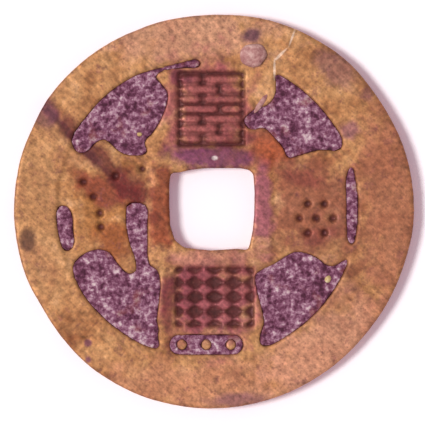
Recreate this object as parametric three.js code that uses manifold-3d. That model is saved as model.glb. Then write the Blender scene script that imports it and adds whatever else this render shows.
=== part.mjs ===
// A worn, round brass coin with a square hole, cast in one piece, and the deposits that stick to it.
// Millimetres. The reverse rim lies on z = 0, the obverse looks along +Z, +Y is the top of the coin.
import * as THREE from 'three';
import { mergeVertices } from 'three/addons/utils/BufferGeometryUtils.js';
import Module from 'manifold-3d';

const wasm = await Module();
wasm.setup();

// Driving sizes of the casting
const COIN_RADIUS = 12.6;
const THICKNESS = 1.3;
const EDGE_ROUND = 0.12;
const FIELD_RADIUS = 9.45;
const FIELD_X = -0.4;
const FIELD_Y = 0.2;
const FIELD_STEP = 0.05;
const HOLE_WIDTH = 5.3;
const HOLE_HEIGHT = 5.1;
const HOLE_X = -0.1;
const HOLE_Y = 0.1;
const INNER_RIM = 1.05;
const POCKET_DEPTH = 0.32;
const PIT_DEPTH = 0.2;
const PIT_RADIUS = 0.26;
const CRACK_WIDTH = 0.1;
const CRACK_DEPTH = 0.12;
const REVERSE_RADIUS = 9.2;
const REVERSE_DEPTH = 0.22;
const REVERSE_INNER_RIM = 1.2;
const REVERSE_RELIEF = 0.14;

// Driving sizes of the deposits
const CRUST_CLEARANCE = 0.05;
const CRUST_HEIGHT = 0.2;
const NODULE_LENGTH = 1.75;
const NODULE_WIDTH = 1.55;
const NODULE_HEIGHT = 0.45;
const SCALE_LENGTH = 1.5;
const SCALE_WIDTH = 0.36;
const SCALE_HEIGHT = 0.12;

// Driving sizes of the ornament
const BAR_HEIGHT = 0.38;
const BAR_GAP = 0.24;
const BAR_ROWS = 7;
const LATTICE_COLUMNS = 4;
const LATTICE_ROWS = 4;
const LATTICE_GAP = 0.16;
const BEAD_RADIUS = 0.34;
const BEAD_COUNT = 3;
const RELIEF_DROP = 0.02;

// Levels that follow from the driving sizes
const FIELD_TOP = THICKNESS - FIELD_STEP;
const POCKET_FLOOR = THICKNESS - POCKET_DEPTH;
const CRUST_TOP = POCKET_FLOOR + CRUST_HEIGHT;
const RELIEF_TOP = FIELD_TOP - RELIEF_DROP;
const OVERCUT = 1;

// How far the rim is worn in from its full radius, as pairs of an angle in degrees and millimetres
const RIM_WEAR = [
  [0, 0.02], [20, 0.02], [45, 0.02], [62, 0.08], [76, 0.16], [90, 0.3], [105, 0.28], [120, 0.22],
  [133, 0.12], [146, 0.05], [156, 0.11], [166, 0.05], [182, 0.07], [198, 0.12], [210, 0.26],
  [219, 0.22], [232, 0.13], [250, 0.14], [270, 0.2], [290, 0.26], [310, 0.3], [330, 0.28],
  [346, 0.16],
];

// The hole's outline in half widths and half heights: it is bowed, with one rounded corner
const HOLE_OUTLINE = [
  [-0.97, 0.88], [-0.74, 0.9], [-0.49, 0.96], [-0.13, 1], [0.32, 1], [0.66, 1], [0.9, 0.95],
  [0.97, 0.84], [1, 0.48], [1, 0.2], [0.99, -0.15], [0.95, -0.53], [0.89, -0.83], [0.84, -1],
  [0.61, -0.96], [0.32, -0.98], [0, -1], [-0.36, -0.97], [-0.65, -0.93], [-0.87, -0.76],
  [-0.98, -0.38], [-1, 0.1], [-1, 0.6],
];

// Outlines in the field: an angle round the hole, and the share of the way from inner rim to outer rim
const UPPER_LEFT = [
  [154, 1], [142, 1], [131, 1], [120, 0.99], [114, 0.97], [102, 0.96], [95, 0.97], [95, 0.9],
  [103, 0.91], [111, 0.92], [113, 0.88], [112, 0.79], [111, 0.67], [116, 0.5], [127, 0.3],
  [135, 0.19], [139, 0.1], [145, 0.26], [148, 0.43], [147, 0.57], [147, 0.68], [150, 0.75],
  [155, 0.8], [157, 0.88],
];
const LOWER_LEFT = [
  [203, 0.96], [214, 1], [226, 1], [238, 1], [245, 1], [249, 0.97], [247, 0.85], [246, 0.77],
  [244, 0.7], [242, 0.58], [239, 0.41], [235, 0.24], [228, 0.06], [222, 0.05], [216, 0.08],
  [206, 0.07], [192, 0.06], [177, 0.07], [176, 0.25], [185, 0.28], [195, 0.28], [204, 0.27],
  [212, 0.25], [219, 0.28], [218, 0.38], [214, 0.44], [209, 0.48], [203, 0.52], [200, 0.6],
  [199, 0.7], [200, 0.85],
];
const LOWER_RIGHT = [
  [310, 0.05], [319, 0.07], [328, 0.24], [333, 0.35], [335, 0.5], [335, 0.64], [334, 0.76],
  [335, 0.86], [338, 0.93], [340, 0.99], [328, 1], [315, 1], [302, 1], [291, 0.99],
  [290, 0.91], [292, 0.82], [295, 0.72], [299, 0.34], [303, 0.14],
];
const UPPER_RIGHT = [
  [65, 0.99], [55, 1], [46, 1], [37, 1], [28, 1], [25, 0.92], [29, 0.69], [32, 0.4], [34, 0.27],
  [41, 0.23], [49, 0.26], [57, 0.35], [64, 0.29], [70, 0.37], [67, 0.52], [62, 0.62],
  [61, 0.76], [63, 0.9],
];
const RIGHT_GUTTER = [
  [18, 1], [13, 1], [2, 1], [-8, 1], [-14, 0.99], [-13, 0.93], [-6, 0.88], [3, 0.87], [13, 0.9],
];
const LEFT_CRESCENT = [
  [179, 0.98], [188, 1], [196, 0.97], [195, 0.88], [188, 0.84], [182, 0.84], [179, 0.89],
];
const LEFT_STARS = [[174, 0.62], [182, 0.55], [189, 0.55], [161, 0.42], [150, 0.14], [168, 0.74]];
const RIGHT_BLOSSOM_CENTRE = [355, 0.52];
const BLOSSOM_RADIUS = 1.05;
const BLOSSOM_PETALS = 6;
const CRACK = [
  [5.3, 11.9], [5, 11.1], [4.93, 10.64], [4.66, 10.22], [4.24, 9.87], [3.82, 9.45], [3.79, 8.9],
];

// Where each stone sits, as an angle and a share like the outlines, and its turn in degrees
const NODULE_PLACE = { angle: 75, share: 1.09, turn: 20 };
const FLAKE_PLACE = { angle: 65.2, share: 0.607, turn: 55 };
const LEFT_GRAIN = { angle: 134, share: 0.322, turn: 0, length: 0.34, width: 0.3, height: 0.2 };
const RIGHT_GRAIN = { angle: 328.9, share: 0.86, turn: 60, length: 0.52, width: 0.42, height: 0.24 };
const STONE_UNEVENNESS = 0.04;

// The two panels with relief, as left, right, bottom and top
const TOP_PANEL = { left: -2.3, right: 2.0, bottom: 4.0, top: 8.75 };
const BOTTOM_PANEL = { left: -2.45, right: 2.55, bottom: -7.3, top: -3.5 };
const BEAD_BAND = { left: -2.75, right: 1.85, bottom: -9.0, top: -7.75 };
const REVERSE_STAR = { x: 0, y: 6.6, radius: 0.6 };
const REVERSE_CRESCENT = { y: -6.3, radius: 1.3, bite: 0.75 };

function toManifold(geometry) {
  const plain = geometry.clone();
  plain.deleteAttribute('normal');
  plain.deleteAttribute('uv');
  const merged = mergeVertices(plain, 1e-4);
  const vertProperties = new Float32Array(merged.attributes.position.array);
  const triVerts = new Uint32Array(merged.index.array);
  return new wasm.Manifold(new wasm.Mesh({ numProp: 3, vertProperties, triVerts }));
}

function toGeometry(body) {
  const mesh = body.getMesh();
  const geometry = new THREE.BufferGeometry();
  geometry.setAttribute('position', new THREE.BufferAttribute(new Float32Array(mesh.vertProperties), 3));
  geometry.setIndex(new THREE.BufferAttribute(new Uint32Array(mesh.triVerts), 1));
  geometry.computeVertexNormals();
  return geometry;
}

function prism(points, bottom, top, holes = []) {
  const shape = new THREE.Shape(points);
  holes.forEach((hole) => shape.holes.push(new THREE.Path(hole)));
  const geometry = new THREE.ExtrudeGeometry(shape, { depth: top - bottom, bevelEnabled: false });
  geometry.translate(0, 0, bottom);
  return geometry;
}

function cutter(points, bottom, top) {
  return toManifold(prism(points, bottom, top));
}

function circle(x, y, radius, count = 24) {
  const points = [];
  for (let i = 0; i < count; i += 1) {
    const angle = (2 * Math.PI * i) / count;
    points.push(new THREE.Vector2(x + radius * Math.cos(angle), y + radius * Math.sin(angle)));
  }
  return points;
}

function box(panel) {
  return [
    new THREE.Vector2(panel.left, panel.bottom),
    new THREE.Vector2(panel.right, panel.bottom),
    new THREE.Vector2(panel.right, panel.top),
    new THREE.Vector2(panel.left, panel.top),
  ];
}

// A rectangle round the hole, wider than the hole by a rim on every side
function rimBox(rim) {
  return box({
    left: HOLE_X - HOLE_WIDTH / 2 - rim,
    right: HOLE_X + HOLE_WIDTH / 2 + rim,
    bottom: HOLE_Y - HOLE_HEIGHT / 2 - rim,
    top: HOLE_Y + HOLE_HEIGHT / 2 + rim,
  });
}

// The point of the field at an angle round the hole, a share of the way from inner to outer rim
function fieldPoint([degrees, share]) {
  const angle = THREE.MathUtils.degToRad(degrees);
  const ux = Math.cos(angle);
  const uy = Math.sin(angle);
  const innerX = (HOLE_WIDTH / 2 + INNER_RIM) / Math.abs(ux);
  const innerY = (HOLE_HEIGHT / 2 + INNER_RIM) / Math.abs(uy);
  const inner = Math.min(innerX, innerY);
  const wx = HOLE_X - FIELD_X;
  const wy = HOLE_Y - FIELD_Y;
  const b = wx * ux + wy * uy;
  const c = wx * wx + wy * wy - FIELD_RADIUS * FIELD_RADIUS;
  const outer = Math.sqrt(b * b - c) - b;
  const reach = inner + share * (outer - inner);
  return new THREE.Vector2(HOLE_X + reach * ux, HOLE_Y + reach * uy);
}

// A closed smooth outline through the points
function smooth(points, pieces) {
  const knots = points.map((point) => new THREE.Vector3(point.x, point.y, 0));
  const curve = new THREE.CatmullRomCurve3(knots, true, 'centripetal');
  return curve.getPoints(pieces).slice(0, -1).map((point) => new THREE.Vector2(point.x, point.y));
}

function distanceToEdge(point, start, end) {
  const along = new THREE.Vector2().subVectors(end, start);
  const from = new THREE.Vector2().subVectors(point, start);
  const share = THREE.MathUtils.clamp(from.dot(along) / along.lengthSq(), 0, 1);
  return from.addScaledVector(along, -share).length();
}

// The outline moved inwards all round by a clearance; the outline's own turn gives the inner side.
// At a sharp tip moved points would cross, so a point that comes too near the outline is left out.
function inset(points, clearance) {
  const nearest = clearance * 0.9;
  return movedInwards(points, clearance).filter((moved) => points.every(
    (point, i) => distanceToEdge(moved, point, points[(i + 1) % points.length]) > nearest,
  ));
}

function movedInwards(points, clearance) {
  const side = THREE.ShapeUtils.area(points) > 0 ? 1 : -1;
  return points.map((point, i) => {
    const before = points[(i + points.length - 1) % points.length];
    const after = points[(i + 1) % points.length];
    const along = new THREE.Vector2().subVectors(after, before).normalize();
    return new THREE.Vector2(
      point.x - side * along.y * clearance,
      point.y + side * along.x * clearance,
    );
  });
}

function patchOutline(pairs) {
  return smooth(pairs.map(fieldPoint), pairs.length * 3);
}

function rimOutline() {
  const knots = RIM_WEAR.map(([degrees, wear]) => {
    const angle = THREE.MathUtils.degToRad(degrees);
    const radius = COIN_RADIUS - wear;
    return new THREE.Vector2(radius * Math.cos(angle), radius * Math.sin(angle));
  });
  return smooth(knots, 144);
}

function holeOutline() {
  return HOLE_OUTLINE.map(([u, v]) => new THREE.Vector2(
    HOLE_X + (u * HOLE_WIDTH) / 2,
    HOLE_Y + (v * HOLE_HEIGHT) / 2,
  ));
}

// The blank: a disc with rounded edges and the square hole
function blank() {
  const shape = new THREE.Shape(rimOutline());
  const geometry = new THREE.ExtrudeGeometry(shape, {
    depth: THICKNESS - 2 * EDGE_ROUND,
    bevelEnabled: true,
    bevelThickness: EDGE_ROUND,
    bevelSize: EDGE_ROUND,
    bevelOffset: -EDGE_ROUND,
    bevelSegments: 2,
  });
  geometry.translate(0, 0, EDGE_ROUND);
  return toManifold(geometry).subtract(cutter(holeOutline(), -OVERCUT, THICKNESS + OVERCUT));
}

// A ring-shaped recess between a round outer rim and the rim round the hole
function recess(x, y, radius, rim, bottom, top) {
  return cutter(circle(x, y, radius, 96), bottom, top).subtract(cutter(rimBox(rim), bottom - 1, top + 1));
}

function crescentOutline(middle, radius, bite) {
  const points = [];
  const count = 14;
  for (let i = 0; i <= count; i += 1) {
    const angle = Math.PI + (Math.PI * i) / count;
    points.push(new THREE.Vector2(radius * Math.cos(angle), middle + radius * Math.sin(angle)));
  }
  for (let i = 1; i < count; i += 1) {
    const angle = (Math.PI * i) / count;
    points.push(new THREE.Vector2(
      radius * Math.cos(angle),
      middle - bite * radius * Math.sin(angle) * 0.6,
    ));
  }
  return points;
}

// The small round pits of the left and right panels: loose stars, and a blossom of petals
function pits() {
  const centre = fieldPoint(RIGHT_BLOSSOM_CENTRE);
  const places = LEFT_STARS.map(fieldPoint);
  places.push(centre);
  for (let i = 0; i < BLOSSOM_PETALS; i += 1) {
    const angle = (2 * Math.PI * i) / BLOSSOM_PETALS;
    places.push(new THREE.Vector2(
      centre.x + BLOSSOM_RADIUS * Math.cos(angle),
      centre.y + BLOSSOM_RADIUS * Math.sin(angle),
    ));
  }
  return places.map((place) => circle(place.x, place.y, PIT_RADIUS, 12));
}

// Rows of short bars with pointed ends, each row's gap beside the last one's
function bars() {
  const outlines = [];
  const pitch = BAR_HEIGHT + BAR_GAP;
  const start = (TOP_PANEL.bottom + TOP_PANEL.top - BAR_ROWS * pitch + BAR_GAP) / 2;
  const width = TOP_PANEL.right - TOP_PANEL.left - 2 * BAR_GAP;
  for (let row = 0; row < BAR_ROWS; row += 1) {
    const middle = start + row * pitch + BAR_HEIGHT / 2;
    const split = row % 2 === 0 ? 0.36 : 0.64;
    const left = TOP_PANEL.left + BAR_GAP;
    outlines.push(barOutline(left, left + width * split - BAR_GAP / 2, middle));
    outlines.push(barOutline(left + width * split + BAR_GAP / 2, left + width, middle));
  }
  return outlines;
}

function barOutline(left, right, middle) {
  const half = BAR_HEIGHT / 2;
  return [
    new THREE.Vector2(left, middle),
    new THREE.Vector2(left + half, middle - half),
    new THREE.Vector2(right - half, middle - half),
    new THREE.Vector2(right, middle),
    new THREE.Vector2(right - half, middle + half),
    new THREE.Vector2(left + half, middle + half),
  ];
}

// A lattice of lozenges
function lozenges() {
  const outlines = [];
  const stepX = (BOTTOM_PANEL.right - BOTTOM_PANEL.left - LATTICE_GAP) / LATTICE_COLUMNS;
  const stepY = (BOTTOM_PANEL.top - BOTTOM_PANEL.bottom - LATTICE_GAP) / LATTICE_ROWS;
  for (let row = 0; row < LATTICE_ROWS; row += 1) {
    for (let column = 0; column < LATTICE_COLUMNS; column += 1) {
      const x = BOTTOM_PANEL.left + LATTICE_GAP / 2 + (column + 0.5) * stepX;
      const y = BOTTOM_PANEL.bottom + LATTICE_GAP / 2 + (row + 0.5) * stepY;
      outlines.push([
        new THREE.Vector2(x - (stepX - LATTICE_GAP) / 2, y),
        new THREE.Vector2(x, y - (stepY - LATTICE_GAP) / 2),
        new THREE.Vector2(x + (stepX - LATTICE_GAP) / 2, y),
        new THREE.Vector2(x, y + (stepY - LATTICE_GAP) / 2),
      ]);
    }
  }
  return outlines;
}

function beads(extra = 0) {
  const outlines = [];
  const step = (BEAD_BAND.right - BEAD_BAND.left) / BEAD_COUNT;
  for (let i = 0; i < BEAD_COUNT; i += 1) {
    const x = BEAD_BAND.left + (i + 0.5) * step;
    outlines.push(circle(x, (BEAD_BAND.bottom + BEAD_BAND.top) / 2, BEAD_RADIUS + extra, 16));
  }
  return outlines;
}

// The bead band's recess has rounded ends
function bandOutline() {
  const half = (BEAD_BAND.top - BEAD_BAND.bottom) / 2;
  const middle = (BEAD_BAND.top + BEAD_BAND.bottom) / 2;
  const points = [];
  for (let i = 0; i <= 8; i += 1) {
    const angle = -Math.PI / 2 + (Math.PI * i) / 8;
    points.push(new THREE.Vector2(
      BEAD_BAND.right - half + half * Math.cos(angle),
      middle + half * Math.sin(angle),
    ));
  }
  for (let i = 0; i <= 8; i += 1) {
    const angle = Math.PI / 2 + (Math.PI * i) / 8;
    points.push(new THREE.Vector2(
      BEAD_BAND.left + half + half * Math.cos(angle),
      middle + half * Math.sin(angle),
    ));
  }
  return points;
}

function crackOutline() {
  const half = CRACK_WIDTH / 2;
  const left = CRACK.map(([x, y]) => new THREE.Vector2(x - half, y));
  const right = CRACK.map(([x, y]) => new THREE.Vector2(x + half, y)).reverse();
  return left.concat(right);
}

function cutAll(body, outlines, bottom, top) {
  return outlines.reduce((rest, outline) => rest.subtract(cutter(outline, bottom, top)), body);
}

function addAll(body, outlines, bottom, top) {
  return outlines.reduce((rest, outline) => rest.add(cutter(outline, bottom, top)), body);
}

function casting(patches) {
  const above = THICKNESS + OVERCUT;
  let body = blank();
  body = body.subtract(recess(FIELD_X, FIELD_Y, FIELD_RADIUS, INNER_RIM, FIELD_TOP, above));
  body = cutAll(body, patches, POCKET_FLOOR, above);
  body = cutAll(body, [box(TOP_PANEL), box(BOTTOM_PANEL)], FIELD_TOP - PIT_DEPTH, above);
  body = cutAll(body, pits(), FIELD_TOP - PIT_DEPTH, above);
  body = addAll(body, bars().concat(lozenges()), FIELD_TOP - PIT_DEPTH - 0.05, RELIEF_TOP);
  body = addAll(body, beads(), POCKET_FLOOR - 0.05, RELIEF_TOP);
  body = body.subtract(cutter(crackOutline(), THICKNESS - CRACK_DEPTH, above));
  let back = recess(0, 0, REVERSE_RADIUS, REVERSE_INNER_RIM, -OVERCUT, REVERSE_DEPTH);
  const star = circle(REVERSE_STAR.x, REVERSE_STAR.y, REVERSE_STAR.radius);
  const crescent = crescentOutline(REVERSE_CRESCENT.y, REVERSE_CRESCENT.radius, REVERSE_CRESCENT.bite);
  const low = REVERSE_DEPTH - REVERSE_RELIEF;
  back = cutAll(back, [star, crescent], low, REVERSE_DEPTH + OVERCUT);
  return toGeometry(body.subtract(back));
}

// A flat-bottomed lump with a domed, slightly uneven top
function lump({ length, width, height, turn, angle: bearing, share }, seat) {
  const place = fieldPoint([bearing, share]);
  const half = length / 2;
  const steps = 7;
  const profile = [new THREE.Vector2(0, 0), new THREE.Vector2(half, 0)];
  for (let i = 1; i < steps; i += 1) {
    const angle = (Math.PI / 2) * (i / steps);
    profile.push(new THREE.Vector2(half * Math.cos(angle) ** 0.8, height * Math.sin(angle)));
  }
  profile.push(new THREE.Vector2(0, height));
  const geometry = new THREE.LatheGeometry(profile, 20);
  geometry.rotateX(Math.PI / 2);
  geometry.scale(1, width / length, 1);
  const position = geometry.attributes.position;
  for (let i = 0; i < position.count; i += 1) {
    const angle = Math.atan2(position.getY(i), position.getX(i));
    const swell = 1 + STONE_UNEVENNESS * Math.sin(3 * angle + 0.7);
    position.setXY(i, position.getX(i) * swell, position.getY(i) * swell);
  }
  geometry.rotateZ(THREE.MathUtils.degToRad(turn));
  geometry.translate(place.x, place.y, seat);
  return toGeometry(toManifold(geometry));
}

function crust(outline, holes = []) {
  return toGeometry(toManifold(prism(inset(outline, CRUST_CLEARANCE), POCKET_FLOOR, CRUST_TOP, holes)));
}

function mesh(name, geometry, color, roughness, metalness) {
  const piece = new THREE.Mesh(geometry, new THREE.MeshStandardMaterial({ color, roughness, metalness }));
  piece.name = name;
  return piece;
}

const outlines = {
  crust_upper_left: patchOutline(UPPER_LEFT),
  crust_upper_right: patchOutline(UPPER_RIGHT),
  crust_lower_left: patchOutline(LOWER_LEFT),
  crust_lower_right: patchOutline(LOWER_RIGHT),
  crust_right_gutter: patchOutline(RIGHT_GUTTER),
  crust_left_crescent: patchOutline(LEFT_CRESCENT),
  crust_bead_band: bandOutline(),
};

const coin = new THREE.Group();
coin.name = 'cash_coin';
coin.add(mesh('coin_casting', casting(Object.values(outlines)), 0xb97f58, 0.5, 0.85));
Object.entries(outlines).forEach(([name, outline]) => {
  const holes = name === 'crust_bead_band' ? beads(CRUST_CLEARANCE) : [];
  coin.add(mesh(name, crust(outline, holes), 0x8a5468, 0.95, 0));
});
const nodule = { ...NODULE_PLACE, length: NODULE_LENGTH, width: NODULE_WIDTH, height: NODULE_HEIGHT };
const flake = { ...FLAKE_PLACE, length: SCALE_LENGTH, width: SCALE_WIDTH, height: SCALE_HEIGHT };
coin.add(mesh('mineral_nodule', lump(nodule, THICKNESS), 0xb57f7c, 0.9, 0));
coin.add(mesh('pale_scale', lump(flake, FIELD_TOP), 0xbe999b, 0.9, 0));
coin.add(mesh('sand_grain_left', lump(LEFT_GRAIN, CRUST_TOP), 0xc9a05a, 0.8, 0));
coin.add(mesh('sand_grain_right', lump(RIGHT_GRAIN, CRUST_TOP), 0xd9c9a0, 0.8, 0));

// The part's origin is the middle of the casting's outline
const extent = new THREE.Box3().setFromObject(coin);
const middle = extent.getCenter(new THREE.Vector3());
coin.children.forEach((piece) => piece.geometry.translate(-middle.x, -middle.y, 0));

export default coin;
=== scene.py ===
# %% [markdown]
# A worn brass coin with a square hole, seen from straight above.
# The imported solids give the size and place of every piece. This script makes dense copies of
# them, wears the copies down, and gives them stained brass, granular crust and mineral finishes.

# %% Load the frame and keep the solids' own box
import math
import bmesh
import bpy
import numpy as np
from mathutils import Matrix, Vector, noise


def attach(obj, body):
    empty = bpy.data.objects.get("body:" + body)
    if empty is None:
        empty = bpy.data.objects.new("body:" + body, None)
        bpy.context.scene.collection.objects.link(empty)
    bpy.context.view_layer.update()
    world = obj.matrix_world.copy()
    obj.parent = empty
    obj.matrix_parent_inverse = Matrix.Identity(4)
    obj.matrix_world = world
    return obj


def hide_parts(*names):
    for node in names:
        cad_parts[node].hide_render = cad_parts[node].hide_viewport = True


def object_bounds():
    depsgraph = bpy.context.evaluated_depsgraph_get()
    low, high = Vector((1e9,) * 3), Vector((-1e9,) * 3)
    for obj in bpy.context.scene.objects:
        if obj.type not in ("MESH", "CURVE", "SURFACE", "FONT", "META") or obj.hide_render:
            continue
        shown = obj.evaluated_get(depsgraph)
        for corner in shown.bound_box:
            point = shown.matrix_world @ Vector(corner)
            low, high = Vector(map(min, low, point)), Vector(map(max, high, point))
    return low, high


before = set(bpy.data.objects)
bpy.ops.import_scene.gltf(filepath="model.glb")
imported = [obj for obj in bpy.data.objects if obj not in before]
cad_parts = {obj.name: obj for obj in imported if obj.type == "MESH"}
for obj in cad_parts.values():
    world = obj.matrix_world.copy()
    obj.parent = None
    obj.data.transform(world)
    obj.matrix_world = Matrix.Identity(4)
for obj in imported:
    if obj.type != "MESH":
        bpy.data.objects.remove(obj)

MM = 0.001
cad_box = [list(corner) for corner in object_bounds()]
print("box of the solids", cad_box)

# %% [markdown]
# The photograph is 425 pixels wide, and 16 of them make a millimetre on the coin. Stains are
# placed by the pixel where they are seen, so one small function turns a pixel into millimetres.

# %% From a pixel of the photograph to millimetres on the coin
IMAGE_SIZE = 425
PIXELS_PER_MM = 16.0
COIN_MIDDLE_PIXEL = (213.97, 211.62)


def on_coin(px, py):
    middle_x, middle_y = COIN_MIDDLE_PIXEL
    return (px - middle_x) / PIXELS_PER_MM, (middle_y - py) / PIXELS_PER_MM


# %% [markdown]
# The photograph looks straight down, with almost no perspective. A long lens from far away does
# the same, and its focal length follows from the width that the picture has to cover.

# %% Camera
CAMERA_HEIGHT = 0.4
SENSOR = 36.0
NEAREST_SEEN = 0.01
view_width = IMAGE_SIZE / PIXELS_PER_MM * MM
view_x, view_y = on_coin(IMAGE_SIZE / 2, IMAGE_SIZE / 2)
camera_data = bpy.data.cameras.new("camera")
camera_data.sensor_width = SENSOR
camera_data.lens = SENSOR * CAMERA_HEIGHT / view_width
camera_data.clip_start = NEAREST_SEEN
camera = bpy.data.objects.new("camera", camera_data)
camera.location = (view_x * MM, view_y * MM, CAMERA_HEIGHT + cad_box[1][2])
bpy.context.scene.collection.objects.link(camera)
bpy.context.scene.camera = camera
print("lens", round(camera_data.lens))

# %% [markdown]
# A colour is written as the 0 to 255 values seen in the photograph. Shaders work with linear
# light, so each value goes through the standard curve, which is straight near black and a power
# above that.

# %% Colours
CURVE_KNEE = 0.04045
CURVE_SLOPE = 12.92
CURVE_OFFSET = 0.055
CURVE_POWER = 2.4
WHITE = (1, 1, 1, 1)


def linear_light(share):
    if share <= CURVE_KNEE:
        return share / CURVE_SLOPE
    return ((share + CURVE_OFFSET) / (1 + CURVE_OFFSET)) ** CURVE_POWER


def linear(red, green, blue):
    return (*[linear_light(value / 255) for value in (red, green, blue)], 1.0)


# %% [markdown]
# Small helpers for node trees. A value that is a socket is linked, and any other value is typed
# into the node's own field. The Mix node has sockets for every kind of value: 2, 3 and output 0
# are its numbers, and 6, 7 and output 2 its colours.

# %% Node helpers
def add(tree, kind, values=None, **settings):
    made = tree.nodes.new(kind)
    for key, value in settings.items():
        setattr(made, key, value)
    for key, value in (values or {}).items():
        if isinstance(value, bpy.types.NodeSocket):
            tree.links.new(value, made.inputs[key])
        else:
            made.inputs[key].default_value = value
    return made


def object_coordinates(tree):
    return add(tree, "ShaderNodeTexCoord").outputs["Object"]


def maths(tree, operation, first, second):
    return add(tree, "ShaderNodeMath", {0: first, 1: second}, operation=operation).outputs[0]


def vector_maths(tree, operation, first, second):
    made = add(tree, "ShaderNodeVectorMath", {0: first, 1: second}, operation=operation)
    return made.outputs[0]


def brightened(tree, colour, factor):
    return add(tree, "ShaderNodeVectorMath", {0: colour, 3: factor}, operation="SCALE").outputs[0]


def map_range(tree, value, source, target=(0.0, 1.0)):
    low, high = source
    to_low, to_high = target
    made = add(tree, "ShaderNodeMapRange", {0: value, 1: low, 2: high, 3: to_low, 4: to_high})
    return made.outputs[0]


def mix_numbers(tree, factor, first, second):
    return add(tree, "ShaderNodeMix", {0: factor, 2: first, 3: second}).outputs[0]


def mix_colour(tree, factor, under, over):
    mixed = add(tree, "ShaderNodeMix", {0: factor, 6: under, 7: over}, data_type="RGBA")
    return mixed.outputs[2]


# %% [markdown]
# An effect that is used more than once is a node group, built once and placed each time with
# values of its own.

# %% Group helpers
VECTOR = "NodeSocketVector"
FLOAT = "NodeSocketFloat"


def new_group(name, inputs, outputs):
    group = bpy.data.node_groups.new(name, "ShaderNodeTree")
    for label, kind, default in inputs:
        socket = group.interface.new_socket(label, in_out="INPUT", socket_type=kind)
        socket.default_value = default
    for label, kind in outputs:
        group.interface.new_socket(label, in_out="OUTPUT", socket_type=kind)
    return group, add(group, "NodeGroupInput"), add(group, "NodeGroupOutput")


def use(tree, group, values):
    return add(tree, "ShaderNodeGroup", values, node_tree=group)


# %% [markdown]
# A stain is a soft ellipse with a ragged edge. The group measures how far a point is from the
# centre, in shares of the ellipse's half width and half height, and adds noise to that distance.
# The noise lies fixed on the coin, so no two stains have the same outline.

# %% Stain group
EDGE_NOISE_SCALE = 900.0
NOISE_MIDDLE = 0.5
EDGE_PUSH = 4.0
STAIN_EDGE = (1.2, 0.6)
WITHOUT_HEIGHT = (1, 1, 0)
stain_group, given, result = new_group(
    "stain",
    [("Centre", VECTOR, (0, 0, 0)), ("Size", VECTOR, (1, 1, 1)), ("Turn", FLOAT, 0.0),
     ("Strength", FLOAT, 1.0), ("Ragged", FLOAT, 0.4)],
    [("Mask", FLOAT)],
)
coordinates = object_coordinates(stain_group)
apart = vector_maths(stain_group, "SUBTRACT", coordinates, given.outputs["Centre"])
turned = add(stain_group, "ShaderNodeVectorRotate", {"Vector": apart, "Angle": given.outputs["Turn"]})
shares = vector_maths(stain_group, "DIVIDE", turned.outputs[0], given.outputs["Size"])
flat = vector_maths(stain_group, "MULTIPLY", shares, WITHOUT_HEIGHT)
reach = add(stain_group, "ShaderNodeVectorMath", {0: flat}, operation="LENGTH").outputs["Value"]
edge_noise = add(stain_group, "ShaderNodeTexNoise", {
    "Vector": coordinates, "Scale": EDGE_NOISE_SCALE, "Detail": 5.0,
})
centred = maths(stain_group, "SUBTRACT", edge_noise.outputs[0], NOISE_MIDDLE)
ragged = maths(stain_group, "MULTIPLY", centred, given.outputs["Ragged"])
pushed = maths(stain_group, "MULTIPLY", ragged, EDGE_PUSH)
uneven = maths(stain_group, "ADD", reach, pushed)
faded = map_range(stain_group, uneven, STAIN_EDGE)
mask = maths(stain_group, "MULTIPLY", faded, given.outputs["Strength"])
stain_group.links.new(mask, result.inputs["Mask"])
print("stain group", len(stain_group.nodes), "nodes")

# %% [markdown]
# Old brass is never one colour: it is mottled over a few millimetres, and grainy at a few tenths
# of one. Crust and stone need the same two noises at scales of their own, so all of them take
# both from one group. Its specks are the middles of small cells.

# %% Grain group
SPECK_EDGE = (0.3, 0.12)
grain_group, given, result = new_group(
    "grain",
    [("Coarse Scale", FLOAT, 500.0), ("Fine Scale", FLOAT, 4000.0)],
    [("Coarse", FLOAT), ("Fine", FLOAT), ("Specks", FLOAT)],
)
coordinates = object_coordinates(grain_group)
coarse = add(grain_group, "ShaderNodeTexNoise", {
    "Vector": coordinates, "Scale": given.outputs["Coarse Scale"], "Detail": 6.0, "Roughness": 0.65,
})
fine = add(grain_group, "ShaderNodeTexNoise", {
    "Vector": coordinates, "Scale": given.outputs["Fine Scale"], "Detail": 4.0, "Roughness": 0.7,
})
cells = add(grain_group, "ShaderNodeTexVoronoi", {
    "Vector": coordinates, "Scale": given.outputs["Fine Scale"],
})
specks = map_range(grain_group, cells.outputs["Distance"], SPECK_EDGE)
grain_group.links.new(coarse.outputs[0], result.inputs["Coarse"])
grain_group.links.new(fine.outputs[0], result.inputs["Fine"])
grain_group.links.new(specks, result.inputs["Specks"])
print("grain group", len(grain_group.nodes), "nodes")

# %% [markdown]
# Dirt stays where fingers don't reach, and on a coin those are the sunken places. The group makes
# a mask from height alone: none of it at Top, and all of it at Bottom. That is simple, but it
# can't tell a hollow from the coin's outer edge at the same height.

# %% Hollow group
hollow_group, given, result = new_group(
    "hollow", [("Top", FLOAT, 0.0013), ("Bottom", FLOAT, 0.001)], [("Mask", FLOAT)],
)
height = add(hollow_group, "ShaderNodeSeparateXYZ", {0: object_coordinates(hollow_group)}).outputs["Z"]
depth = map_range(hollow_group, height, (given.outputs["Top"], given.outputs["Bottom"]))
hollow_group.links.new(depth, result.inputs["Mask"])
print("hollow group", len(hollow_group.nodes), "nodes")

# %% [markdown]
# Every finish starts as a ramp of colours driven by the grain, with bump from the same grain. A
# stain is mixed over the colour by its mask, and is placed and sized by pixels.

# %% Finish helpers
STAIN_RAGGED = 0.35


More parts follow.
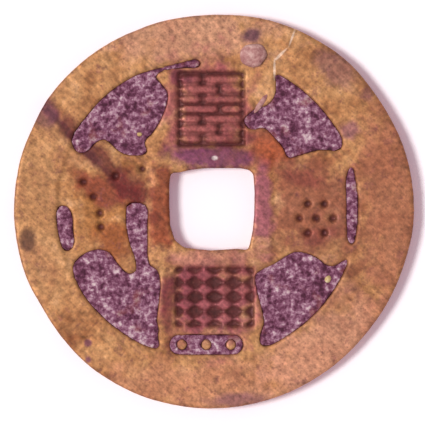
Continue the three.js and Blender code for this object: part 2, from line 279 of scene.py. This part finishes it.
def start_material(name, coarse_scale, fine_scale):
    material = bpy.data.materials.new(name)
    material.use_nodes = True
    tree = material.node_tree
    grain = use(tree, grain_group, {"Coarse Scale": coarse_scale, "Fine Scale": fine_scale})
    return material, tree, tree.nodes["Principled BSDF"], grain


def ramp(tree, factor, stops):
    made = add(tree, "ShaderNodeValToRGB", {0: factor})
    elements = made.color_ramp.elements
    for place, _ in stops[2:]:
        elements.new(place)
    for element, (place, colour) in zip(elements, sorted(stops)):
        element.position = place
        element.color = linear(*colour)
    return made.outputs[0]


def stain(tree, under, px, py, wide, high, turn, colour, strength, ragged=STAIN_RAGGED):
    x, y = on_coin(px, py)
    size = (wide / PIXELS_PER_MM * MM, high / PIXELS_PER_MM * MM, 1.0)
    mask = use(tree, stain_group, {
        "Centre": (x * MM, y * MM, 0.0), "Size": size, "Turn": math.radians(-turn),
        "Strength": strength, "Ragged": ragged,
    })
    return mix_colour(tree, mask.outputs[0], under, linear(*colour))


# %% [markdown]
# The brass has broad tints where the alloy has toned: golden to pink on the rim, golden to
# red-brown on the field, and brown to pink on the rim of the hole. Each row is a pixel, a half
# width and a half height in pixels, a turn in degrees, a colour and a strength.

# %% Tints of the brass
RIM_TINTS = [
    (30, 200, 34, 130, 0, (188, 134, 88), 0.7),
    (200, 388, 120, 30, 0, (196, 130, 97), 0.7),
    (325, 350, 80, 42, 40, (204, 141, 113), 0.8),
    (392, 200, 34, 140, 0, (168, 102, 75), 0.8),
    (190, 35, 90, 30, 0, (198, 141, 113), 0.8),
]
FIELD_TINTS = [
    (105, 205, 42, 44, 0, (170, 108, 56), 0.9),
    (104, 190, 34, 17, -20, (128, 46, 38), 0.75),
    (112, 240, 22, 22, 0, (150, 74, 36), 0.7),
    (205, 108, 48, 56, 0, (158, 78, 82), 0.9),
    (268, 150, 32, 34, -45, (150, 66, 48), 0.7),
    (213, 298, 54, 48, 0, (152, 70, 84), 0.9),
    (310, 205, 50, 50, 0, (150, 82, 60), 0.85),
]
HOLE_RIM_TINTS = [
    (162, 205, 15, 46, 0, (140, 60, 36), 0.85),
    (262, 205, 12, 46, 0, (160, 86, 100), 0.85),
    (212, 257, 48, 9, 0, (186, 122, 104), 0.7),
    (214, 157, 50, 13, 0, (122, 58, 88), 0.95),
]
print(len(RIM_TINTS + FIELD_TINTS + HOLE_RIM_TINTS), "tints")

# %% [markdown]
# The separate stains are smaller, and most are darker. A long dark streak crosses the upper left.
# The crack is too fine for the casting's skin to show well, so four thin pale stains paint the
# highlight on its lit wall.

# %% Stains of the brass, and the crack's painted highlight
LONG_STREAK = [
    (96, 156, 84, 11, -46, (104, 34, 32), 0.85),
    (78, 142, 56, 5, -46, (84, 26, 34), 0.75),
    (132, 190, 24, 16, -46, (112, 30, 30), 0.8),
]
STAINS = [
    (300, 176, 30, 9, -20, (128, 52, 48), 0.6),
    (318, 236, 30, 8, 10, (130, 56, 50), 0.6),
    (182, 75, 14, 9, 0, (112, 44, 60), 0.7),
    (240, 140, 16, 9, 0, (116, 40, 50), 0.7),
    (168, 300, 6, 44, 0, (104, 30, 34), 0.7),
    (28, 240, 8, 14, 0, (88, 50, 36), 0.85),
    (45, 115, 15, 12, 0, (112, 62, 78), 0.6),
    (250, 35, 11, 8, 0, (92, 48, 68), 0.85),
    (338, 68, 28, 17, -40, (126, 76, 82), 0.6),
    (368, 95, 8, 8, 0, (112, 60, 70), 0.6),
    (350, 130, 11, 9, 0, (132, 72, 100), 0.6),
    (355, 270, 13, 9, 30, (112, 42, 32), 0.6),
    (235, 400, 30, 8, 0, (120, 70, 90), 0.6),
    (88, 360, 4, 4, 0, (112, 52, 80), 0.8),
    (88, 343, 4, 4, 0, (112, 52, 80), 0.8),
    (270, 150, 20, 13, 0, (182, 84, 44), 0.6),
    (215, 158, 3.5, 2.5, 0, (228, 206, 202), 0.9),
]
# Painted highlight: the crack's wall that faces the light, drawn as four thin pale lines.
CRACK_HIGHLIGHT = [
    (292, 38, 11, 1.3, 70, (228, 192, 168), 0.9),
    (281, 54, 10, 1.3, 45, (228, 192, 168), 0.9),
    (274.5, 69, 10, 1.3, 90, (228, 192, 168), 0.9),
    (285, 93.5, 7, 1.5, -12, (228, 198, 180), 0.9),
]
print(len(LONG_STREAK + STAINS + CRACK_HIGHLIGHT), "stains")

# %% [markdown]
# The ground of the brass is a ramp of four colours over the coarse grain. The tints go over it,
# then tarnish in wide patches and in small ones, and the stains and the crack's painted highlight
# last, so that no tarnish hides them. The tarnish comes from the grain group too, at wider scales.

# %% Brass
BRASS_COLOURS = [
    (0.3, (142, 82, 48)), (0.45, (178, 120, 76)), (0.58, (194, 138, 90)), (0.72, (214, 160, 118)),
]
TINT_RAGGED = 0.5
WIDE_TARNISH = (134, 70, 52)
WIDE_TARNISH_EDGE = (0.54, 0.68)
WIDE_TARNISH_STRENGTH = (0.0, 0.55)
SMALL_TARNISH = (118, 58, 66)
SMALL_TARNISH_EDGE = (0.58, 0.72)
SMALL_TARNISH_STRENGTH = (0.0, 0.6)
brass, tree, shader, grain = start_material("worn_brass", coarse_scale=420.0, fine_scale=3400.0)
colour = ramp(tree, grain.outputs["Coarse"], BRASS_COLOURS)
for row in RIM_TINTS + FIELD_TINTS + HOLE_RIM_TINTS:
    colour = stain(tree, colour, *row, ragged=TINT_RAGGED)
toning = use(tree, grain_group, {"Coarse Scale": 190.0, "Fine Scale": 1300.0})
wide_tarnish = map_range(tree, toning.outputs["Coarse"], WIDE_TARNISH_EDGE, WIDE_TARNISH_STRENGTH)
colour = mix_colour(tree, wide_tarnish, colour, linear(*WIDE_TARNISH))
small_tarnish = map_range(tree, toning.outputs["Fine"], SMALL_TARNISH_EDGE, SMALL_TARNISH_STRENGTH)
colour = mix_colour(tree, small_tarnish, colour, linear(*SMALL_TARNISH))
# The stains go on last, and with them the crack's painted highlight.
for row in LONG_STREAK + STAINS + CRACK_HIGHLIGHT:
    colour = stain(tree, colour, *row)

# %% [markdown]
# Years of rubbing leave fine lines that mostly run one way. Noise that is stretched along one
# diagonal gives streaks, and they make the colour up to 16 percent darker or lighter. The Mapping
# node is of the Texture type, so that the stretch lies along the diagonal.

# %% Rubbing marks
SLANT = (0.0, 0.0, math.radians(-44))
STREAK_SHAPE = (1.0, 0.07, 1.0)
STREAK_SCALE = 420.0
STREAK_RANGE = (0.3, 0.7)
STREAK_BRIGHTNESS = (0.84, 1.16)
slanted = add(tree, "ShaderNodeMapping", {
    0: object_coordinates(tree), 2: SLANT, 3: STREAK_SHAPE,
}, vector_type="TEXTURE")
streaks = add(tree, "ShaderNodeTexNoise", {
    "Vector": slanted.outputs[0], "Scale": STREAK_SCALE, "Detail": 5.0,
})
rubbed = map_range(tree, streaks.outputs[0], STREAK_RANGE, STREAK_BRIGHTNESS)
colour = brightened(tree, colour, rubbed)

# %% [markdown]
# Dirt lies on the floors of the panels and pits, so its mask is a band of heights: it starts below
# the field's surface and is nearly full on those floors. The lower edge uses the same group upside
# down, and keeps the reverse clean. Grain then flecks the whole colour.

# %% Dirt and grain of the brass
DIRT_UPPER_EDGE = {"Top": 0.00119, "Bottom": 0.00103}
DIRT_LOWER_EDGE = {"Top": 0.0007, "Bottom": 0.0009}
DIRT = (84, 30, 30)
GRAIN_RANGE = (0.3, 0.7)
GRAIN_BRIGHTNESS = (0.6, 1.4)
FLECK = (120, 66, 56)
FLECK_SHARE = 0.4
below_field = use(tree, hollow_group, DIRT_UPPER_EDGE)
above_reverse = use(tree, hollow_group, DIRT_LOWER_EDGE)
dirty = maths(tree, "MULTIPLY", below_field.outputs[0], above_reverse.outputs[0])
colour = mix_colour(tree, dirty, colour, linear(*DIRT))
shade = map_range(tree, grain.outputs["Fine"], GRAIN_RANGE, GRAIN_BRIGHTNESS)
toned = brightened(tree, colour, shade)
flecked = mix_colour(tree, grain.outputs["Specks"], toned, linear(*FLECK))
colour = mix_colour(tree, FLECK_SHARE, toned, flecked)
tree.links.new(colour, shader.inputs["Base Color"])

# %% [markdown]
# Old brass has a skin of oxide over its metal, so the finish is only partly metallic. It shines
# more where the coarse grain is bright, and the fine grain gives it a slight bump.

# %% Gloss and bump of the brass
METAL_SHARE = 0.45
DULL_TO_SHINY = (0.72, 0.46)
BRASS_BUMP = 0.00004
shader.inputs["Metallic"].default_value = METAL_SHARE
gloss = map_range(tree, grain.outputs["Coarse"], GRAIN_RANGE, DULL_TO_SHINY)
tree.links.new(gloss, shader.inputs["Roughness"])
bump = add(tree, "ShaderNodeBump", {
    "Height": grain.outputs["Fine"], "Distance": BRASS_BUMP, "Strength": 0.5,
})
tree.links.new(bump.outputs[0], shader.inputs["Normal"])
print(brass.name, len(tree.nodes), "nodes")

# %% [markdown]
# The crust is soil and copper minerals grown into a granular cake: dark purple in its hollows and
# rose on its grains, with rusty blotches; the cream on the tops of its grains is a painted highlight.
# The nodule, the flake and the grains are paler minerals of the same build, so one function makes
# them all.

# %% How a mineral is made
FINE_SHARE = 0.55
RUST_SCALE = 700.0
RUST_EDGE = (0.58, 0.7)
RUST_STRENGTH = (0.0, 0.7)
GRAIN_WHOLE = (0.0, 1.0)
MINERAL_ROUGHNESS = (0.75, 1.0)


def mineral(name, stops, coarse_scale, fine_scale, relief, blotch=None):
    material, tree, shader, grain = start_material(name, coarse_scale, fine_scale)
    mixed = mix_numbers(tree, FINE_SHARE, grain.outputs["Coarse"], grain.outputs["Fine"])
    colour = ramp(tree, mixed, stops)
    if blotch:
        rust = add(tree, "ShaderNodeTexNoise", {
            "Vector": object_coordinates(tree), "Scale": RUST_SCALE, "Detail": 3.0,
        })
        mask = map_range(tree, rust.outputs[0], RUST_EDGE, RUST_STRENGTH)
        colour = mix_colour(tree, mask, colour, linear(*blotch))
    tree.links.new(colour, shader.inputs["Base Color"])
    rough = map_range(tree, grain.outputs["Fine"], GRAIN_WHOLE, MINERAL_ROUGHNESS)
    tree.links.new(rough, shader.inputs["Roughness"])
    bump = add(tree, "ShaderNodeBump", {"Height": mixed, "Distance": relief, "Strength": 0.9})
    tree.links.new(bump.outputs[0], shader.inputs["Normal"])
    print(name, len(tree.nodes), "nodes")
    return material


# %% [markdown]
# Each mineral is its colours, from the hollows to the tops of the grains, its two scales and the
# height of its bump in metres. Only the crust has blotches.

# %% Crust, pink mineral and sand
# The crust's own purples and roses, and a last cream colour that paints a highlight on the tops of its
# grains.
CRUST_COLOURS_AND_HIGHLIGHT = [
    (0.4, (70, 16, 42)), (0.46, (106, 48, 76)), (0.51, (138, 82, 108)), (0.56, (176, 128, 148)),
    (0.63, (222, 194, 196)),
]
CRUST_RUST = (128, 52, 42)
PINK_COLOURS = [
    (0.35, (150, 92, 92)), (0.48, (186, 132, 128)), (0.6, (214, 170, 162)), (0.7, (236, 208, 198)),
]
SAND_COLOURS = [(0.35, (170, 128, 74)), (0.5, (210, 176, 120)), (0.65, (238, 222, 186))]
crust = mineral(
    "mineral_crust", CRUST_COLOURS_AND_HIGHLIGHT,
    coarse_scale=1400.0, fine_scale=3200.0, relief=0.00016, blotch=CRUST_RUST,
)
pink = mineral("pink_mineral", PINK_COLOURS, coarse_scale=1200.0, fine_scale=3600.0, relief=0.00008)
sand = mineral("sand", SAND_COLOURS, coarse_scale=2500.0, fine_scale=6000.0, relief=0.00005)

# %% [markdown]
# A solid from the frame has only the faces that its outline needs. A voxel remesh gives an even
# skin and rounds every edge as wear does. Work is done in millimetres, because the remesh has a
# smallest size, and the skin goes back to metres afterwards.

# %% Dense copies of the solids
SAME_POINT = 1e-7


def dense_copy(node, voxel):
    work = bmesh.new()
    work.from_mesh(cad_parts[node].data)
    bmesh.ops.remove_doubles(work, verts=work.verts, dist=SAME_POINT)
    bmesh.ops.scale(work, verts=work.verts, vec=(1 / MM, 1 / MM, 1 / MM))
    mesh = bpy.data.meshes.new(node + "_skin")
    work.to_mesh(mesh)
    work.free()
    piece = bpy.data.objects.new(node + "_skin", mesh)
    bpy.context.scene.collection.objects.link(piece)
    remesh = piece.modifiers.new("skin", "REMESH")
    remesh.mode = "VOXEL"
    remesh.voxel_size = voxel
    evaluated = piece.evaluated_get(bpy.context.evaluated_depsgraph_get())
    skin = bpy.data.meshes.new_from_object(evaluated)
    piece.modifiers.clear()
    piece.data = skin
    return piece


# %% [markdown]
# Wear and growth move the points of a skin by noise, and its normals say which way. The noise is
# Blender's own, with no chance in it: each use has a seed that shifts it to another place.

# %% Reading a skin and moving it by noise
SEED_STEP = (7.3, 3.1, 5.7)


def read_vectors(collection, field, count):
    values = np.empty(count * 3)
    collection.foreach_get(field, values)
    return values.reshape(-1, 3)


def read_skin(piece):
    mesh = piece.data
    count = len(mesh.vertices)
    points = read_vectors(mesh.vertices, "co", count)
    normals = read_vectors(mesh.vertex_normals, "vector", count)
    return points, normals


def unevenness(points, per_mm, seed):
    shift = Vector([seed * step for step in SEED_STEP])
    return np.array([noise.noise(Vector(point) * per_mm + shift) for point in points])


# %% [markdown]
# A finished skin goes back to metres, takes its material, and stands for its CAD node: it rides
# on the same body. Points are first brought inside the box of all the solids, so that the coin
# doesn't grow past what the CAD says.

# %% Finishing a skin
def finish_skin(piece, points, node, material):
    mesh = piece.data
    low, high = (np.array(corner) / MM for corner in cad_box)
    points = np.clip(points, low, high)
    mesh.vertices.foreach_set("co", (points * MM).ravel())
    mesh.polygons.foreach_set("use_smooth", np.ones(len(mesh.polygons), dtype=bool))
    mesh.update()
    mesh.materials.clear()
    mesh.materials.append(material)
    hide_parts(node)
    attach(piece, "root")
    print(piece.name, len(mesh.polygons), "faces")


# %% [markdown]
# Wear only takes metal away, so every push on the casting goes inwards: a slow unevenness, fine
# pitting, and scattered dents. Noise runs from minus one to one, so the first two are turned into
# shares from nought to one. Depths are in millimetres.

# %% The casting
CASTING_VOXEL = 0.12
SLOW_WEAR = 0.03
SLOW_WEAR_PER_MM = 0.5
SLOW_WEAR_SEED = 1
PITTING = 0.022
PITTING_PER_MM = 3.2
PITTING_SEED = 2
DENT = 0.05
DENTS_PER_MM = 1.3
DENTS_SEED = 3
DENTS_START = 0.35


def as_share(values):
    return 0.5 + 0.5 * values


casting = dense_copy("coin_casting", CASTING_VOXEL)
points, normals = read_skin(casting)
slow = as_share(unevenness(points, SLOW_WEAR_PER_MM, SLOW_WEAR_SEED))
pitting = as_share(unevenness(points, PITTING_PER_MM, PITTING_SEED))
dents = np.clip(unevenness(points, DENTS_PER_MM, DENTS_SEED) - DENTS_START, 0, 1)
worn = SLOW_WEAR * slow + PITTING * pitting + DENT * dents
finish_skin(casting, points - normals * worn[:, None], "coin_casting", brass)

# %% [markdown]
# Crust fills its pocket to the wall, so its sides swell outwards by a little more than the solid's
# side clearance. Its top is heaped with lumps and grains, which stand up to an eighth of a
# millimetre over the solid, about as high as the rim.

# %% The crusts
CRUST_VOXEL = 0.09
SIDE_SWELL = 0.06
LUMP = 0.075
LUMPS_PER_MM = 1.6
FIRST_LUMP_SEED = 10
GRAIN = 0.05
GRAINS_PER_MM = 5.0
FIRST_GRAIN_SEED = 30
CRUSTS = [
    "crust_upper_left", "crust_upper_right", "crust_lower_left", "crust_lower_right",
    "crust_right_gutter", "crust_left_crescent", "crust_bead_band",
]
for number, node in enumerate(CRUSTS):
    piece = dense_copy(node, CRUST_VOXEL)
    points, normals = read_skin(piece)
    lumps = LUMP * unevenness(points, LUMPS_PER_MM, FIRST_LUMP_SEED + number)
    grains = GRAIN * unevenness(points, GRAINS_PER_MM, FIRST_GRAIN_SEED + number)
    upward = np.clip(normals[:, 2], 0, 1)
    sideways = np.sqrt(np.clip(1 - normals[:, 2] ** 2, 0, 1))
    moved = points.copy()
    moved[:, 2] += upward * (lumps + grains)
    moved[:, :2] += normals[:, :2] * (SIDE_SWELL * sideways)[:, None]
    finish_skin(piece, moved, node, crust)

# %% [markdown]
# The nodule, the flake and the sand grains are single stones. They are swollen and dented by
# the same noise, and sunk a hair into what they stick to, so that no gap shows. Each row is a
# node, a material, its slot, the depth of the dents in millimetres and how many fit in one.

# %% The stones
STONE_VOXEL = 0.06
SINK = 0.05
FIRST_STONE_SEED = 50
STONES = [
    ("mineral_nodule", pink, "pink_mineral", 0.07, 1.8),
    ("pale_scale", pink, "pink_mineral", 0.03, 3.0),
    ("sand_grain_left", sand, "sand", 0.02, 6.0),
    ("sand_grain_right", sand, "sand", 0.025, 6.0),
]
for number, (node, material, slot, relief, per_mm) in enumerate(STONES):
    piece = dense_copy(node, STONE_VOXEL)
    points, normals = read_skin(piece)
    swelling = relief * unevenness(points, per_mm, FIRST_STONE_SEED + number)
    dented = points + normals * swelling[:, None]
    dented[:, 2] -= SINK
    finish_skin(piece, dented, node, material)

# %% [markdown]
# The coin lies on a large flat sheet of one face. The sheet is a hair below the coin, because two
# surfaces in the same place would flicker through each other.

# %% Floor
FLOOR_REACH = 0.6
FLOOR_DROP = 0.00002
floor_mesh = bpy.data.meshes.new("floor")
work = bmesh.new()
bmesh.ops.create_grid(work, x_segments=1, y_segments=1, size=FLOOR_REACH)
work.to_mesh(floor_mesh)
work.free()
floor = bpy.data.objects.new("floor", floor_mesh)
bpy.context.scene.collection.objects.link(floor)
floor.location.z = -FLOOR_DROP
print("floor reaches to", max(vertex.co.x for vertex in floor_mesh.vertices))

# %% [markdown]
# The background is white paper. Its colour is white, and a faint pink glow, which only the
# camera, reflections and clear materials see, warms the coin's soft shadow.

# %% Paper
GLOW_COLOUR = (1.0, 0.2, 0.6, 1)
GLOW_STRENGTH = 0.14
paper = bpy.data.materials.new("paper")
paper.use_nodes = True
tree = paper.node_tree
tree.nodes.clear()
ray = add(tree, "ShaderNodeLightPath").outputs
seen = maths(tree, "MAXIMUM", ray["Is Camera Ray"], ray["Is Glossy Ray"])
seen = maths(tree, "MAXIMUM", seen, ray["Is Transmission Ray"])
white = add(tree, "ShaderNodeBsdfDiffuse", {"Color": WHITE})
glow = add(tree, "ShaderNodeEmission", {"Color": GLOW_COLOUR, "Strength": GLOW_STRENGTH})
nothing = add(tree, "ShaderNodeEmission", {"Strength": 0.0})
warmth = add(tree, "ShaderNodeMixShader", {0: seen, 1: nothing.outputs[0], 2: glow.outputs[0]})
both = add(tree, "ShaderNodeAddShader", {0: white.outputs[0], 1: warmth.outputs[0]})
add(tree, "ShaderNodeOutputMaterial", {"Surface": both.outputs[0]})
floor_mesh.materials.append(paper)

# %% [markdown]
# The light comes from the left, thirty degrees off the vertical, as the shadow on the right side
# shows. The world fills in from everywhere. Together they light a level white surface to 1.03,
# just over white.

# %% Lights
FILL = 0.42
KEY_SHARE = 0.61
KEY_TILT = math.radians(30)
KEY_SPREAD = math.radians(16)
world = bpy.data.worlds.new("soft_light")
bpy.context.scene.world = world
world.use_nodes = True
background = world.node_tree.nodes["Background"]
background.inputs["Color"].default_value = WHITE
background.inputs["Strength"].default_value = FILL
key_data = bpy.data.lights.new("key", "SUN")
key_data.energy = KEY_SHARE * math.pi / math.cos(KEY_TILT)
key_data.angle = KEY_SPREAD
key = bpy.data.objects.new("key", key_data)
key.rotation_euler = (0.0, -KEY_TILT, 0.0)
bpy.context.scene.collection.objects.link(key)
bpy.context.scene.view_settings.view_transform = "Standard"
print("key strength", round(key_data.energy, 3))
